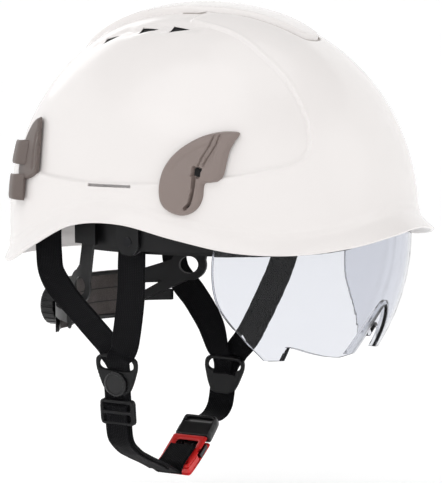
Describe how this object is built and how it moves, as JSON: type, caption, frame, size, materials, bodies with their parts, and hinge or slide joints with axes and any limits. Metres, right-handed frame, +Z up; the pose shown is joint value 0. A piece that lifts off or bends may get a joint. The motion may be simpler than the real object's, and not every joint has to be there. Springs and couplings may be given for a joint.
{
  "type": "hard hat",
  "caption": "Hard hat with a short peak, crown ridge and vents, lamp clips, pull-down clear visor, padded headband with ratchet nape, and Y-shaped chin strap with a quick-release buckle",
  "frame": {"origin": "middle of the headband opening, level with the rim beside the brow", "axes": "+Z up out of the crown, wearer looks along -Y, wearer right is -X"},
  "size_m": [0.216, 0.2903, 0.3167],
  "materials": {
    "shell": "smooth white ABS with a soft gloss",
    "lamp_clip": "grey-brown moulded nylon, fine grain",
    "visor_lens": "clear polycarbonate, faint blue cast",
    "visor_trim": "clear soft polymer rim",
    "visor_arm": "black nylon",
    "visor_bracket": "black nylon",
    "washer": "spring steel",
    "steel": "zinc-plated steel",
    "headband": "black moulded polyethylene",
    "brow_sweat_pad": "dark textile over thin foam",
    "nape_pad": "grey-brown textile over foam, black piping",
    "crown_pad": "dark textile over thin foam",
    "side_arm": "black moulded polyethylene",
    "nape_housing": "black nylon, satin",
    "ratchet": "black nylon, ribbed",
    "rack_strip": "black acetal",
    "harness_lug": "black nylon",
    "cradle_webbing": "black polyester webbing",
    "strap_hanger": "black nylon and webbing",
    "divider": "black acetal, satin",
    "divider_cap": "black acetal, satin",
    "chin_webbing": "black polyester webbing, ribbed weave",
    "buckle_red": "red acetal",
    "buckle_black": "black acetal"
  },
  "bodies": {
    "hat": {"bracket_screw_left": "steel", "bracket_screw_right": "steel", "brow_sweat_pad": "brow_sweat_pad", "buckle_male": "buckle_black", "cradle_strap_left": "cradle_webbing", "cradle_strap_middle": "cradle_webbing", "cradle_strap_right": "cradle_webbing", "crown_pad": "crown_pad", "harness_lug_front_left": "harness_lug", "harness_lug_front_right": "harness_lug", "harness_lug_middle_left": "harness_lug", "harness_lug_middle_right": "harness_lug", "harness_lug_rear_left": "harness_lug", "harness_lug_rear_right": "harness_lug", "headband": "headband", "lamp_clip_front_left": "lamp_clip", "lamp_clip_front_right": "lamp_clip", "lamp_clip_rear_left": "lamp_clip", "lamp_clip_rear_right": "lamp_clip", "left_divider": "divider", "left_divider_cap": "divider_cap", "left_front_strap": "chin_webbing", "left_lower_strap": "chin_webbing", "left_rear_strap": "chin_webbing", "shell": "shell", "side_arm_left": "side_arm", "side_arm_right": "side_arm", "strap_hanger_front_left": "strap_hanger", "strap_hanger_front_right": "strap_hanger", "strap_hanger_rear_left": "strap_hanger", "strap_hanger_rear_right": "strap_hanger", "visor_bracket_left": "visor_bracket", "visor_bracket_right": "visor_bracket", "visor_pivot_pin_left": "steel", "visor_pivot_pin_right": "steel", "visor_washer_left": "washer", "visor_washer_right": "washer"},
    "visor": {"visor_lens": "visor_lens", "visor_nose_trim": "visor_trim", "visor_arm_left": "visor_arm", "visor_arm_right": "visor_arm", "visor_rivets": "steel"},
    "nape_unit": {"nape_housing": "nape_housing", "nape_pad": "nape_pad", "rack_strip_left": "rack_strip", "rack_strip_right": "rack_strip"},
    "ratchet": {"ratchet_wheel": "ratchet", "ratchet_spindle": "steel", "ratchet_pinion": "ratchet", "ratchet_cap": "ratchet"},
    "right_strap": {"right_front_strap": "chin_webbing", "right_rear_strap": "chin_webbing", "right_divider": "divider", "right_divider_cap": "divider_cap", "right_lower_strap": "chin_webbing", "buckle_female": "buckle_red"},
    "slider": {"right_slider": "divider"},
    "prong_front": {"prong_front": "buckle_black"},
    "prong_rear": {"prong_rear": "buckle_black"}
  },
  "joints": [
    {"name": "visor_tilt", "type": "hinge", "parent": "hat", "child": "visor", "pos_m": [0, 0.007, 0.004], "axis": [-1, 0, 0], "range_deg": [0, 38]},
    {"name": "nape_slide", "type": "slide", "parent": "hat", "child": "nape_unit", "axis": [0, 1, 0], "range_m": [0, 0.012]},
    {"name": "ratchet_turn", "type": "hinge", "parent": "nape_unit", "child": "ratchet", "pos_m": [0, 0.12, -0.054], "axis": [0, 1, 0], "range_deg": [0, 114.6]},
    {"name": "strap_swing", "type": "hinge", "parent": "hat", "child": "right_strap", "pos_m": [-0.086, 0.0115, 0], "axis": [0, 1, 0], "range_deg": [0, 20]},
    {"name": "slider_slide", "type": "slide", "parent": "right_strap", "child": "slider", "axis": [0.0957, 0, -0.9954], "range_m": [0, 0.006]},
    {"name": "prong_front_squeeze", "type": "hinge", "parent": "hat", "child": "prong_front", "pos_m": [0.02556, 0.0256, -0.14126], "axis": [0.6198, 0, -0.7848], "range_deg": [0, 6], "stiffness_Nm_per_rad": 0.05},
    {"name": "prong_rear_squeeze", "type": "hinge", "parent": "hat", "child": "prong_rear", "pos_m": [0.02556, 0.0404, -0.14126], "axis": [-0.6198, 0, 0.7848], "range_deg": [0, 6], "stiffness_Nm_per_rad": 0.05}
  ],
  "couplings": [
    {"joint": "ratchet_turn", "follows": "nape_slide", "rad_per_m": 166.67}
  ]
}
